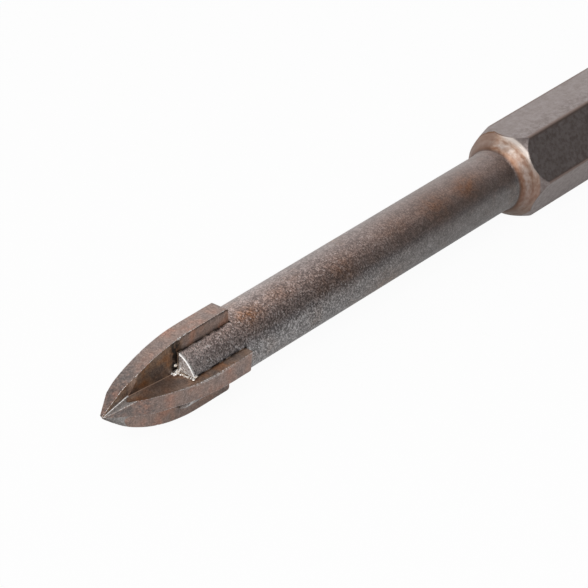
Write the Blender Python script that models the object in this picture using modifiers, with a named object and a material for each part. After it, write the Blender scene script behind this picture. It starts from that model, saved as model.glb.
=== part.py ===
"""Glass and tile drill bit: a cross of sintered carbide brazed into a shaft turned from hexagon bar.

The bit lies on one flat of its shank. World frame, in metres: the origin is the centre of the shank's
end face, the axis runs along X with the point at -X, and +Z is up, square to the flat that it lies on.
The pieces are modelled standing on the shank's end, point up, under an empty that lays them down.
Left and right on a fin are its anticlockwise and clockwise sides, as seen from the point.
"""

from math import cos, pi, radians, sin, tan

import bmesh
import bpy

MM = 0.001

# Shank and shaft, turned as one piece from hexagon bar
HEX_ACROSS_FLATS = 6.35 * MM
HEX_EDGE_RADIUS = 0.25 * MM
SHANK_LENGTH = 30.0 * MM
TAIL_CHAMFER_DEPTH = 0.8 * MM
TAIL_CHAMFER_LENGTH = 0.9 * MM
SHAFT_DIAMETER = 4.6 * MM
NECK_FILLET_RADIUS = 0.3 * MM
SHOULDER_BULGE_RADIUS = 10.0 * MM
NECK_SLOPE = radians(40)  # the shoulder's angle to the axis where it leaves the shaft
RIM_SLOPE = radians(26)  # and where it runs out over the hexagon's edges
POINT_TO_SHOULDER = 42.2 * MM
POINT_TO_PRONGS = 6.62 * MM

# Carbide cross
MAIN_RADIUS = 3.165 * MM  # the first and third fins, and then the second and fourth
SIDE_RADIUS = 3.03 * MM
GROUND_HIGH = 0.035 * MM  # the ground circle's middle lies this far off the axis towards the shank's upper flat
GROUND_ASIDE = 0.15 * MM  # and this far across
FIN_THICKNESS = 1.35 * MM
CROSS_LENGTH = 11.85 * MM
CROSS_TURN = radians(-3.6)  # the first fin's angle from the shank's upper flat
TAIL_ROUND = 0.35 * MM
SPEAR_START = 0.11 * MM  # a main fin's edge leaves the point as a straight spear
SPEAR_SLOPE = 0.85  # which widens by this share of its length
MAIN_NOSE = (8.2 * MM, 8.8 * MM)  # and runs into an arc that ends this far back, on the first and the third fin
MAIN_NOSE_START = (0.5 * MM, 0.06 * MM)  # how far from the axis each arc would start at the point
SIDE_NOSE = {"left": 8.6 * MM, "right": 10.0 * MM}  # how far back each edge of a side fin is still curved
GASH_LENGTH = 2.16 * MM
GASH_WEB = {"left": 0.86 * MM, "right": 0.37 * MM}  # a fin's half thickness at its root, where the gash ends
POINT_BLUNTING = 0.08 * MM

# Brazed joint
BRAZE_GAP = 0.09 * MM
BRAZE_CLEARANCE = 0.01 * MM
BRAZE_SETBACK = 0.05 * MM  # how far the filler's edges lie under the shaft's skin and the prongs' ends

# Fineness
TURNED_STEPS = 96
FILLET_STEPS = 8
BULGE_STEPS = 8
EDGE_SEGMENTS = 3
NOSE_STATIONS = 26
TAIL_ROUND_STEPS = 3
SMOOTH_BELOW = radians(8)  # faces that turn less than this from one to the next are shaded as one

# Worked out from the above
TOTAL_LENGTH = SHANK_LENGTH + POINT_TO_SHOULDER
SHAFT_RADIUS = SHAFT_DIAMETER / 2
HEX_CORNER_RADIUS = HEX_ACROSS_FLATS / 2 / cos(pi / 6)
ENVELOPE_RADIUS = HEX_CORNER_RADIUS * 1.1
PRONG_END = TOTAL_LENGTH - POINT_TO_PRONGS
CROSS_BOTTOM = TOTAL_LENGTH - CROSS_LENGTH
SLOT_BOTTOM = CROSS_BOTTOM - BRAZE_GAP
SLOT_WIDTH = FIN_THICKNESS + 2 * BRAZE_GAP
CUTTER_REACH = MAIN_RADIUS + ENVELOPE_RADIUS
FIN_DIRECTIONS = [CROSS_TURN - i * pi / 2 for i in range(4)]


def make_collection(name):
    collection = bpy.data.collections.new(name)
    bpy.context.scene.collection.children.link(collection)
    return collection


def make_material(name, colour, metallic, roughness):
    material = bpy.data.materials.new(name)
    material.use_nodes = True
    shader = material.node_tree.nodes["Principled BSDF"]
    shader.inputs["Base Color"].default_value = (*colour, 1.0)
    shader.inputs["Metallic"].default_value = metallic
    shader.inputs["Roughness"].default_value = roughness
    return material


def make_object(name, work, collection, material=None):
    """Puts a finished bmesh into a named object that lies down with the bit. Without a material it is a cutter."""
    bmesh.ops.recalc_face_normals(work, faces=work.faces)
    mesh = bpy.data.meshes.new(name)
    work.to_mesh(mesh)
    work.free()
    thing = bpy.data.objects.new(name, mesh)
    thing.parent = lying_axis
    collection.objects.link(thing)
    if material:
        mesh.materials.append(material)
    else:
        thing.hide_render = True
        thing.display_type = "WIRE"
    return thing


def shade(mesh):
    mesh.shade_smooth()
    mesh.set_sharp_from_angle(angle=SMOOTH_BELOW)


def settle(thing):
    """Puts what the thing's modifiers make of it into its own mesh, and shades that."""
    shaped = thing.evaluated_get(bpy.context.evaluated_depsgraph_get())
    mesh = bpy.data.meshes.new_from_object(shaped)
    mesh.name = thing.name
    thing.modifiers.clear()
    thing.data = mesh
    shade(mesh)


def add_boolean(thing, operation, other):
    modifier = thing.modifiers.new(f"{operation.title()} {other.name}", "BOOLEAN")
    modifier.operation = operation
    modifier.object = other
    modifier.solver = "EXACT"


def arc(centre, radius, start, end, steps):
    """(radius, height) points along an arc, its angles measured from straight outwards."""
    angles = [start + (end - start) * i / steps for i in range(steps + 1)]
    return [(centre[0] + radius * cos(angle), centre[1] + radius * sin(angle)) for angle in angles]


def turned_profile():
    """(radius, height) of the lathe's cut, from the prongs' ends down the outside to the shank's end face."""
    fillet_start = SHANK_LENGTH + NECK_FILLET_RADIUS * sin(NECK_SLOPE)
    fillet_centre = (SHAFT_RADIUS + NECK_FILLET_RADIUS, fillet_start)
    fillet = arc(fillet_centre, NECK_FILLET_RADIUS, pi, pi + NECK_SLOPE, FILLET_STEPS)
    neck_radius, neck_height = fillet[-1]
    bulge_centre = (
        neck_radius - SHOULDER_BULGE_RADIUS * cos(NECK_SLOPE),
        neck_height - SHOULDER_BULGE_RADIUS * sin(NECK_SLOPE),
    )
    bulge = arc(bulge_centre, SHOULDER_BULGE_RADIUS, NECK_SLOPE, RIM_SLOPE, BULGE_STEPS)[1:]
    bulge = [point for point in bulge if point[0] < ENVELOPE_RADIUS]
    rim_radius, rim_height = bulge[-1]
    rim_end = rim_height - (ENVELOPE_RADIUS - rim_radius) / tan(RIM_SLOPE)
    tail_radius = HEX_CORNER_RADIUS - TAIL_CHAMFER_DEPTH
    tail_height = (ENVELOPE_RADIUS - tail_radius) * TAIL_CHAMFER_LENGTH / TAIL_CHAMFER_DEPTH
    return [
        (0.0, PRONG_END),
        (SHAFT_RADIUS, PRONG_END),
        *fillet,
        *bulge,
        (ENVELOPE_RADIUS, rim_end),
        (ENVELOPE_RADIUS, tail_height),
        (tail_radius, 0.0),
        (0.0, 0.0),
    ]


def make_turned(name, profile, collection):
    """A solid of revolution about the bit's axis."""
    work = bmesh.new()
    points = [work.verts.new((radius, 0.0, height)) for radius, height in profile]
    for upper, lower in zip(points, points[1:]):
        work.edges.new((upper, lower))
    thing = make_object(name, work, collection)
    screw = thing.modifiers.new("Screw", "SCREW")
    screw.steps = TURNED_STEPS
    screw.render_steps = TURNED_STEPS
    screw.use_merge_vertices = True
    screw.merge_threshold = 0.001 * MM
    return thing


def make_bar(name, sides, radius, bottom, top, collection, material=None):
    """A bar along the axis. With six sides it has a flat towards the first fin, and its long edges are rounded."""
    work = bmesh.new()
    bmesh.ops.create_cone(
        work, cap_ends=True, segments=sides, radius1=radius, radius2=radius, depth=top - bottom
    )
    bmesh.ops.translate(work, verts=work.verts, vec=(0, 0, (top + bottom) / 2))
    if sides == 6:
        long_edges = [edge for edge in work.edges if abs(edge.verts[0].co.z - edge.verts[1].co.z) > radius]
        corner_cut = HEX_EDGE_RADIUS * tan(pi / 6)
        bmesh.ops.bevel(
            work, geom=long_edges, offset=corner_cut, segments=EDGE_SEGMENTS, profile=0.5, affect="EDGES"
        )
    return make_object(name, work, collection, material)


def make_slab(name, direction, width, bottom, top, collection, material=None):
    """A plate on the axis that holds two opposite fins."""
    work = bmesh.new()
    bmesh.ops.create_cube(work, size=1.0)
    bmesh.ops.scale(work, verts=work.verts, vec=(2 * CUTTER_REACH, width, top - bottom))
    bmesh.ops.translate(work, verts=work.verts, vec=(0, 0, (top + bottom) / 2))
    thing = make_object(name, work, collection, material)
    thing.rotation_euler = (0, 0, direction)
    return thing


def make_steel_body(collection, cutters, material):
    """The shaft and the shank: hexagon bar, cut by a lathe to the turned envelope and slotted crosswise."""
    body = make_bar("steel_body", 6, HEX_CORNER_RADIUS, 0.0, PRONG_END, collection, material)
    add_boolean(body, "INTERSECT", make_turned("turned_envelope", turned_profile(), cutters))
    for i, direction in enumerate(FIN_DIRECTIONS[:2]):
        top = PRONG_END + CUTTER_REACH
        slot = make_slab(f"slot_{i}", direction, SLOT_WIDTH, SLOT_BOTTOM, top, cutters)
        add_boolean(body, "DIFFERENCE", slot)
    settle(body)
    return body


def root_half_thickness(side, depth):
    """How far a fin's face lies from its middle at the root: nothing at the point, the web where the gash
    ends, and half the fin's thickness from the prongs' ends back."""
    if depth < GASH_LENGTH:
        return GASH_WEB[side] * depth / GASH_LENGTH
    if depth < POINT_TO_PRONGS:
        share = (depth - GASH_LENGTH) / (POINT_TO_PRONGS - GASH_LENGTH)
        return GASH_WEB[side] + (FIN_THICKNESS / 2 - GASH_WEB[side]) * share
    return FIN_THICKNESS / 2


def edge_radius(fin, side, depth):
    """How far a fin's edge stands from the axis. A main fin is a straight spear that runs into an arc, a side fin
    is a parabola, and both are rounded off at the tail."""
    direction = FIN_DIRECTIONS[fin]
    off_middle = GROUND_HIGH * cos(direction) + GROUND_ASIDE * sin(direction)
    if fin % 2 == 0:
        nose, start = MAIN_NOSE[fin // 2], MAIN_NOSE_START[fin // 2]
        drop = MAIN_RADIUS - start
        arc_radius = (nose**2 + drop**2) / (2 * drop)
        ahead_of_end = max(0.0, nose - depth)
        on_arc = MAIN_RADIUS + off_middle - arc_radius + (arc_radius**2 - ahead_of_end**2) ** 0.5
        reach = min(SPEAR_START + SPEAR_SLOPE * depth, on_arc)
    else:
        left_of_nose = max(0.0, 1 - depth / SIDE_NOSE[side])
        reach = (SIDE_RADIUS + off_middle) * (1 - left_of_nose**2)
    into_tail = max(0.0, depth - (CROSS_LENGTH - TAIL_ROUND))
    tail_drop = TAIL_ROUND - max(0.0, TAIL_ROUND**2 - into_tail**2) ** 0.5
    return reach - tail_drop


def cross_section(depth):
    """The twelve corners of the cross at this depth behind the point: left edge, right edge and root, fin by fin.
    The web of a gash stands out at the root only, so a main fin's edge is no thicker than the fin."""
    left, right = (root_half_thickness(side, depth) for side in ("left", "right"))
    corners = []
    for i, direction in enumerate(FIN_DIRECTIONS):
        left_at_edge = left if i % 2 else min(left, FIN_THICKNESS / 2)
        outward = (cos(direction), sin(direction))
        rightward = (sin(direction), -cos(direction))
        for reach, across in (
            (edge_radius(i, "left", depth), -left_at_edge),
            (edge_radius(i, "right", depth), right),
            (left, right),
        ):
            corners.append([reach * outward[k] + across * rightward[k] for k in (0, 1)])
    return corners


def cross_depths():
    """Where the sections lie: close together at the point, at each change of form, and round the tail."""
    nose = max(*MAIN_NOSE, *SIDE_NOSE.values())
    nose = min(nose, CROSS_LENGTH - 2 * TAIL_ROUND)
    depths = {
        POINT_BLUNTING + (nose - POINT_BLUNTING) * (i / NOSE_STATIONS) ** 1.4
        for i in range(NOSE_STATIONS + 1)
    }
    depths |= {GASH_LENGTH, POINT_TO_PRONGS}
    for i in range(TAIL_ROUND_STEPS + 1):
        depths.add(CROSS_LENGTH - TAIL_ROUND * (1 - sin(pi / 2 * i / TAIL_ROUND_STEPS)))
    return sorted(depths)


def make_carbide_cross(collection, material):
    """A loft through the twelve-cornered sections, from the point to the flat tail."""
    work = bmesh.new()
    rings = []
    for depth in cross_depths():
        height = TOTAL_LENGTH - depth
        rings.append([work.verts.new((x, y, height)) for x, y in cross_section(depth)])
    for front, back in zip(rings, rings[1:]):
        for i in range(len(front)):
            j = (i + 1) % len(front)
            work.faces.new((front[i], front[j], back[j], back[i]))
    for cap in (rings[0], rings[-1]):
        work.faces.new(cap)
    cross = make_object("carbide_cross", work, collection, material)
    shade(cross.data)
    return cross


def make_braze_filler(collection, cutters, material):
    """The silver solder that fills the slot round the carbide: a thin lining of its walls and floor."""
    bottom, top = SLOT_BOTTOM + BRAZE_CLEARANCE, PRONG_END - BRAZE_SETBACK
    width = SLOT_WIDTH - 2 * BRAZE_CLEARANCE
    first, second = FIN_DIRECTIONS[:2]
    filler = make_slab("braze_filler", first, width, bottom, top, collection, material)
    add_boolean(filler, "UNION", make_slab("braze_second_slot", second, width, bottom, top, cutters))
    reach = SHAFT_RADIUS - BRAZE_SETBACK
    inside = make_bar("braze_reach", TURNED_STEPS, reach, SLOT_BOTTOM - BRAZE_GAP, PRONG_END, cutters)
    add_boolean(filler, "INTERSECT", inside)
    room_width = FIN_THICKNESS + 2 * BRAZE_CLEARANCE
    for i, direction in enumerate((first, second)):
        room_bottom, room_top = CROSS_BOTTOM - BRAZE_CLEARANCE, PRONG_END + CUTTER_REACH
        room = make_slab(f"fin_room_{i}", direction, room_width, room_bottom, room_top, cutters)
        add_boolean(filler, "DIFFERENCE", room)
    return filler


for leftover in list(bpy.data.objects):
    bpy.data.objects.remove(leftover, do_unlink=True)

parts = make_collection("glass_and_tile_drill_bit")
cutters = make_collection("cutters")
lying_axis = bpy.data.objects.new("lying_axis", None)
lying_axis.rotation_euler = (0, -pi / 2, 0)
parts.objects.link(lying_axis)

blasted_steel = make_material("blasted tool steel", (0.13, 0.105, 0.09), 0.85, 0.5)
sintered_carbide = make_material("ground sintered carbide", (0.2, 0.15, 0.13), 0.8, 0.45)
silver_solder = make_material("silver solder", (0.62, 0.58, 0.5), 1.0, 0.35)

make_steel_body(parts, cutters, blasted_steel)
make_carbide_cross(parts, sintered_carbide)
make_braze_filler(parts, cutters, silver_solder)
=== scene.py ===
import math
from functools import partial

import bmesh
import bpy
import numpy as np
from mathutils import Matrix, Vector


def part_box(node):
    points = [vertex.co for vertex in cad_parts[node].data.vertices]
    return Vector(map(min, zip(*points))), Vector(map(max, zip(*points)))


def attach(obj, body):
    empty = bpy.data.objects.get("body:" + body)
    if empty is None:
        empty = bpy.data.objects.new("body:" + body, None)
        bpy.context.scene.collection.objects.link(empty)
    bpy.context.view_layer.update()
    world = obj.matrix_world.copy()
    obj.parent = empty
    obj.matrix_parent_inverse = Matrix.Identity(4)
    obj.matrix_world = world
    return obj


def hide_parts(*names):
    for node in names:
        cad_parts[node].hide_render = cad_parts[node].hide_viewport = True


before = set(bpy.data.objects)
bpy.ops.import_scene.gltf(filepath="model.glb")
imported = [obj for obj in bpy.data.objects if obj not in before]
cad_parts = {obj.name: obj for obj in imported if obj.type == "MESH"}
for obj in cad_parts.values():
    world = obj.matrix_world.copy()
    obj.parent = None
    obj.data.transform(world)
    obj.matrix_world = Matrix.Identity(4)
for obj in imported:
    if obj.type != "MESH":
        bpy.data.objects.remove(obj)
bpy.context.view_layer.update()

# The shaft and shank are one piece of tool steel, turned from quarter inch hexagon bar, so the shoulder
# runs out over the flats in curves. A cross slot is milled into the end for the carbide and leaves four
# prongs. The piece was grit blasted after brazing, and the heat has tinted it brown.
MM = 0.001
steel_low, steel_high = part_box("steel_body")
cross_low, cross_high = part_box("carbide_cross")
POINT_BLUNTING = 0.08 * MM
POINT_X = cross_low.x - POINT_BLUNTING
APOTHEM = steel_high.z
HEX_EDGE_RADIUS = 0.25 * MM
SHAFT_RADIUS = 2.3 * MM
SHANK_LENGTH = 30.0 * MM
NECK_FILLET = 0.3 * MM
NECK_SLOPE = math.radians(40)
SHOULDER_BULGE = 10.0 * MM
TAIL_CHAMFER_DEPTH = 0.8 * MM
TAIL_CHAMFER_LENGTH = 0.9 * MM
WORN_CORNER = 0.05 * MM
RING_RIM = 3.28 * MM
SLOT_HALF_WIDTH = 0.765 * MM
SLOT_FLOOR = 11.94 * MM
PRONG_FRONT = steel_low.x - POINT_X
PRONG_EDGE = 0.09 * MM
# Each heat tint has its depth behind the point in millimetres, its angle from the top in degrees, its size
# in millimetres and its strength. Each pit has its distance behind the prong's end, half length and depth.
HEAT_PATCHES = [(13.5, -30, 0.9, 0.9), (12.3, -18, 0.6, 0.4), (16.9, -23, 1.0, 0.4), (20.6, -54, 0.9, 0.4),
                (22.8, -50, 1.1, 0.6), (29.4, -38, 1.4, 0.35), (33.6, -37, 1.3, 0.6), (37.3, -36, 1.0, 0.8),
                (20.0, 90, 1.6, 0.6), (33.0, 150, 1.8, 0.6), (27.0, -140, 1.6, 0.6)]
PITS = [(0.75, 0.4, 0.1), (2.15, 0.45, 0.1), (3.1, 0.13, 0.2), (4.0, 0.3, 0.1), (4.5, 0.1, 0.2),
        (5.25, 0.12, 0.16)]
PIT_SHIFT = 0.36 * MM
PIT_WIDTH = 0.14 * MM
PRONG_ROOTING = 0.05 * MM
GRIT_WARP = 0.1 * MM
PIT_BELOW_SKIN = 0.3 * MM
STAINED_DEPTH = 0.08 * MM
WALL_DRAWN_BACK = 0.07 * MM
DRAWN_BACK_LENGTH = 1.3 * MM
SMEARED_PRONG = 1
SMEARED_BARE = 0.3
SKIN_BARE = 0.16
SKIN_BARE_END = 10 * MM
SKIN_BARE_FADE = 3 * MM
FIRST_FIN = math.radians(-3.6)
FIN_ANGLES = [FIRST_FIN - i * math.pi / 2 for i in range(4)]


def at(depth, radius, angle):
    """Points by their depth behind the drill's point, radius off its axis and angle from straight up."""
    depth, radius, angle = np.broadcast_arrays(depth, radius, angle)
    return np.stack([POINT_X + depth, radius * np.sin(angle), radius * np.cos(angle)], axis=-1)


def skin(name, shells):
    """One mesh of closed shells. A shell is rings of points, and its first and last rings are closed by a
    fan about their own middles. Its marks are values at every point, which the material reads by name, and
    are 0 where a shell has none."""
    corners, faces = [], []
    marks = {mark: [] for shell in shells for mark in shell["marks"]}
    start = 0
    for shell in shells:
        rings = shell["rings"]
        rows, columns = rings.shape[:2]
        here = start + np.arange(rows * columns).reshape(rows, columns)
        beside = np.roll(here, -1, axis=1)
        front = np.full(columns, start + rows * columns)
        back = front + 1
        faces += np.stack([here[:-1], here[1:], beside[1:], beside[:-1]], axis=-1).reshape(-1, 4).tolist()
        faces += np.stack([front, here[0], beside[0]], axis=-1).tolist()
        faces += np.stack([back, beside[-1], here[-1]], axis=-1).tolist()
        corners += [rings.reshape(-1, 3), rings[[0, -1]].mean(axis=1)]
        for mark, parts in marks.items():
            values = np.broadcast_to(shell["marks"].get(mark, 0.0), (rows, columns))
            parts += [values.ravel(), values[[0, -1]].mean(axis=1)]
        start += rows * columns + 2
    mesh = bpy.data.meshes.new(name)
    mesh.from_pydata(np.concatenate(corners).tolist(), [], faces)
    for mark, parts in marks.items():
        layer = mesh.attributes.new(mark, "FLOAT", "POINT")
        layer.data.foreach_set("value", np.concatenate(parts).astype(np.float32))
    outwards = bmesh.new()
    outwards.from_mesh(mesh)
    bmesh.ops.recalc_face_normals(outwards, faces=outwards.faces)
    outwards.to_mesh(mesh)
    outwards.free()
    mesh.shade_smooth()
    mesh.set_sharp_from_angle(angle=math.radians(32))
    piece = bpy.data.objects.new(name, mesh)
    bpy.context.scene.collection.objects.link(piece)
    return piece


def soft_least(one, other, width):
    """The lesser of two radii, less a parabola where they lie within a width of each other: a worn
    corner."""
    overlap = np.maximum(width - np.abs(one - other), 0)
    return np.minimum(one, other) - overlap**2 / (4 * width)


def hexagon_radius(angle):
    """The bar's skin: over a flat, the apothem over the cosine of the angle from the flat's middle, and at
    a long edge the far root of the rounding circle."""
    off_middle = np.abs((angle + np.pi / 6) % (np.pi / 3) - np.pi / 6)
    centre = (APOTHEM - HEX_EDGE_RADIUS) / math.cos(math.pi / 6)
    swing = np.pi / 6 - off_middle
    edge = centre * np.cos(swing) + np.sqrt(np.maximum(HEX_EDGE_RADIUS**2 - (centre * np.sin(swing)) ** 2, 0))
    flat_end = math.atan((APOTHEM - HEX_EDGE_RADIUS) * math.tan(math.pi / 6) / APOTHEM)
    return np.where(off_middle < flat_end, APOTHEM / np.cos(off_middle), edge)


NECK_RADIUS = SHAFT_RADIUS + NECK_FILLET * (1 - math.cos(NECK_SLOPE))
BULGE_RADIUS_OFFSET = NECK_RADIUS - SHOULDER_BULGE * math.cos(NECK_SLOPE)
BULGE_HEIGHT = SHANK_LENGTH - SHOULDER_BULGE * math.sin(NECK_SLOPE)
FILLET_TOP = SHANK_LENGTH + NECK_FILLET * math.sin(NECK_SLOPE)
TAIL_RADIUS = APOTHEM / math.cos(math.pi / 6) - TAIL_CHAMFER_DEPTH


def turned_radius(height):
    """The lathe's cut, by height over the shank's end: the shaft, a circle's arc as the fillet into the
    neck, and a wide circle's arc over the shoulder."""
    into_fillet = np.clip(FILLET_TOP - height, 0, FILLET_TOP - SHANK_LENGTH)
    fillet = SHAFT_RADIUS + NECK_FILLET - np.sqrt(NECK_FILLET**2 - into_fillet**2)
    over_bulge = np.clip(height, BULGE_HEIGHT, SHANK_LENGTH) - BULGE_HEIGHT
    bulge = BULGE_RADIUS_OFFSET + np.sqrt(SHOULDER_BULGE**2 - over_bulge**2)
    return np.where(height > SHANK_LENGTH, fillet, bulge)


FLAT_STEPS = 29
EDGE_START = 28
EDGE_STEPS = 6
RING_OVERLAP = 0.06 * MM
RING_SOFT = 0.08 * MM
RIM_SOFT = 0.05 * MM
FLAT_SOFT = 0.1 * MM
LINE_HALF = 3.2
LINE_SOFT = 1.6
LINE_RISE = 0.9 * MM


def bar_shell():
    """The shaft and shank as columns down the skin, closer at the long edges. Each column's points crowd
    where the shoulder and the tail chamfer cross its flat, and its radius is the least of the bar's, the
    lathe's and the chamfer's. Its marks rise in straight lines over a soft width at the edges of the ring,
    flats and long edges."""
    edge = np.linspace(EDGE_START, 30, EDGE_STEPS)
    middle = np.linspace(-EDGE_START, EDGE_START, FLAT_STEPS)
    sector = np.concatenate([-edge[::-1][:-1], middle, edge[1:-1]])
    angle = np.radians((np.arange(6)[:, None] * 60 + sector).ravel())
    bar = hexagon_radius(angle)
    shoulder_end = BULGE_HEIGHT + np.sqrt(SHOULDER_BULGE**2 - (bar - BULGE_RADIUS_OFFSET) ** 2)
    tail_end = (bar - TAIL_RADIUS) * TAIL_CHAMFER_LENGTH / TAIL_CHAMFER_DEPTH
    top = -POINT_X - SLOT_FLOOR
    even = np.ones_like(angle)
    crowd = 1 - (1 - np.linspace(0, 1, 40)[1:]) ** 1.6
    shaft = np.linspace(top, FILLET_TOP, 90)[:, None] * even
    fillet = np.linspace(FILLET_TOP, SHANK_LENGTH, 9)[1:, None] * even
    ring = SHANK_LENGTH + (shoulder_end - SHANK_LENGTH) * crowd[:, None] ** 0.8
    both_ends = (1 - np.cos(np.linspace(0, np.pi, 60)[1:])) / 2
    flats = shoulder_end + (tail_end - shoulder_end) * both_ends[:, None] ** 1.3
    tail = tail_end * (1 - np.linspace(0, 1, 9)[1:, None] ** 1.5)
    height = np.concatenate([shaft, fillet, ring, flats, tail])
    chamfer = TAIL_RADIUS + height * TAIL_CHAMFER_DEPTH / TAIL_CHAMFER_LENGTH
    radius = soft_least(soft_least(bar, turned_radius(height), WORN_CORNER), chamfer, WORN_CORNER)
    last = radius[-1]
    height = np.concatenate([height[:1], height, np.zeros((2, len(angle)))])
    radius = np.concatenate([radius[:1] * 0.9, radius, last[None] * 0.97, last[None] * 0.5])
    on_ring = np.clip((SHANK_LENGTH + RING_OVERLAP - height) / RING_SOFT, 0, 1)
    on_ring *= np.clip((bar - turned_radius(height)) / (0.03 * MM) + 0.3, 0, 1)
    on_ring *= np.clip((RING_RIM - radius) / RIM_SOFT + 0.5, 0, 1)
    past_rim = np.clip((radius - RING_RIM) / RIM_SOFT + 0.5, 0, 1)
    below_shoulder = np.clip((shoulder_end - height) / FLAT_SOFT, 0, 1)
    off_middle = np.abs(np.degrees(angle) % 60 - 30)
    long_edge = below_shoulder * np.clip((LINE_HALF - off_middle) / LINE_SOFT, 0, 1)
    long_edge = long_edge * np.clip(height / LINE_RISE, 0, 1)
    warmed = np.zeros_like(height)
    for depth, direction, size, strength in HEAT_PATCHES:
        round_it = (np.degrees(angle) - direction + 180) % 360 - 180
        along = -POINT_X - height - depth * MM
        off = (along / (1.5 * size * MM)) ** 2 + (SHAFT_RADIUS * np.radians(round_it) / (size * MM)) ** 2
        warmed = np.maximum(warmed, strength * np.exp(-off))
    drawn = np.maximum(below_shoulder, past_rim)
    marks = {"turned": on_ring, "drawn": drawn, "warmed": warmed, "long_edge": long_edge}
    return {"rings": at(-POINT_X - height, radius, angle), "marks": marks}


def bell(place, middle, half_length):
    """One at the middle and near nothing past the half length: an exponential of minus the fourth power."""
    return np.exp(-(((place - middle) / half_length) ** 4))


def pitting(behind_end, fin):
    """How deep the solder is pitted, by the distance behind the prong's end: the sum of a bell for each
    pit."""
    return sum(
        depth * MM * bell(behind_end, middle * MM - PIT_SHIFT * fin, half_length * MM)
        for middle, half_length, depth in PITS
    )


def prong_outline(inset, drawn_back):
    """A prong's section between two fins, each point at an inset from its outline: out along one slot wall,
    which also stands back from the fin, round the shaft's circle, and in along the other wall."""
    wall, rim = SLOT_HALF_WIDTH + inset[:, None], SHAFT_RADIUS - inset[:, None]
    first_wall = wall + drawn_back[:, None]
    reach, first_reach = np.sqrt(rim**2 - wall**2), np.sqrt(rim**2 - first_wall**2)
    along = np.linspace(0, 1, 12, endpoint=False)
    first_line = wall + drawn_back[:, None] * along
    start, end = np.arcsin(first_wall / rim), np.pi / 2 - np.arcsin(wall / rim)
    round_it = start + (end - start) * np.linspace(0, 1, 28, endpoint=False)
    still = np.ones_like(along)
    x = np.concatenate([wall + (first_reach - wall) * along, rim * np.cos(round_it), wall * still], axis=1)
    y = np.concatenate([first_line, rim * np.sin(round_it), reach + (wall - reach) * along], axis=1)
    return x, y


def prong_shell(fin):
    """One prong: its flat front face from the middle outwards, a quarter round of worn edge, the straight
    length, and a rooting that runs a little into the shaft behind the slot's floor. The face is bare with a
    burr on its outer edge that is painted near white as a highlight, or smeared on one prong. The skin is
    paler near it, and black flux lies beside the solder's pits."""
    turn = np.linspace(0, np.pi / 2, 6)
    length = np.linspace(PRONG_FRONT + PRONG_EDGE, SLOT_FLOOR, 40)[1:]
    depth = np.concatenate([np.full(3, PRONG_FRONT), PRONG_FRONT + PRONG_EDGE * (1 - np.cos(turn)), length])
    inset = np.concatenate([np.full(3, PRONG_EDGE), PRONG_EDGE * (1 - np.sin(turn)), np.zeros(len(length))])
    depth = np.append(depth, SLOT_FLOOR + PRONG_ROOTING)
    inset = np.append(inset, 0.005 * MM)
    drawn_back = WALL_DRAWN_BACK * np.clip(1 - (depth - PRONG_FRONT) / DRAWN_BACK_LENGTH, 0, 1) ** 1.5
    x, y = prong_outline(inset, drawn_back)
    shrink = np.ones(len(depth))
    shrink[:3] = [0.35, 0.7, 0.93]
    for line in (x, y):
        middle = line[0].mean()
        line[:] = middle + (line - middle) * shrink[:, None]
    radius = np.hypot(x, y)
    rings = at(depth[:, None], radius, FIN_ANGLES[fin] - np.arctan2(y, x))
    bare = np.clip((PRONG_FRONT + 1.3 * PRONG_EDGE - depth) / (0.5 * PRONG_EDGE), 0, 1)[:, None]
    bare = bare * (SMEARED_BARE if fin == SMEARED_PRONG else 1.0)
    burr_highlight = bare * (radius > SHAFT_RADIUS - 0.85 * PRONG_EDGE) * (shrink[:, None] == 1)
    bare = np.maximum(bare, SKIN_BARE * np.clip((SKIN_BARE_END - depth) / SKIN_BARE_FADE, 0, 1)[:, None])
    off_wall = np.minimum(x, y) - SLOT_HALF_WIDTH
    pit = np.clip(pitting(depth - PRONG_FRONT, fin)[:, None] / STAINED_DEPTH, 0, 1)
    pit = pit * np.clip(1 - off_wall / PIT_WIDTH, 0, 1) * (radius > SHAFT_RADIUS - PIT_BELOW_SKIN)
    return {"rings": rings, "marks": {"bare": bare, "burr_highlight": burr_highlight, "pit": pit}}


steel_body = skin("steel_body_skin", [bar_shell()] + [prong_shell(fin) for fin in range(4)])


def linear(hex_colour):
    """An sRGB hex colour as linear red, green, blue and alpha."""
    shares = np.array([int(hex_colour[i : i + 2], 16) for i in (1, 3, 5)]) / 255
    lit = np.where(shares <= 0.04045, shares / 12.92, ((shares + 0.055) / 1.055) ** 2.4)
    return (*lit.tolist(), 1.0)


def feed(node, inputs):
    """Sets a node's inputs, each to a value, a hex colour, or a node whose first output it then takes."""
    for place, value in inputs.items():
        open_sockets = [socket for socket in node.inputs if socket.enabled]
        socket = open_sockets[place] if isinstance(place, int) else {s.name: s for s in open_sockets}[place]
        if isinstance(value, bpy.types.Node):
            value = next(output for output in value.outputs if output.enabled)
        if isinstance(value, bpy.types.NodeSocket):
            node.id_data.links.new(value, socket)
        else:
            socket.default_value = linear(value) if isinstance(value, str) else value


def add_node(tree, kind, inputs=None, stops=None, **settings):
    """Adds a node with its settings, its inputs and, on a ramp, its stops."""
    node = tree.nodes.new("ShaderNode" + kind)
    for name, value in settings.items():
        setattr(node, name, value)
    feed(node, inputs or {})
    if stops:
        ramp = node.color_ramp.elements
        while len(ramp) < len(stops):
            ramp.new(1.0)
        for element, (position, colour) in zip(ramp, stops):
            element.position = position
            element.color = linear(colour)
    return node


def new_material(name, colour, metallic, roughness):
    """A material with its shader's plain values, the function that adds its nodes, and the shader."""
    material = bpy.data.materials.new(name)
    material.use_nodes = True
    shader = material.node_tree.nodes["Principled BSDF"]
    feed(shader, {"Base Color": colour, "Metallic": metallic, "Roughness": roughness})
    return material, partial(add_node, material.node_tree), shader


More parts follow.
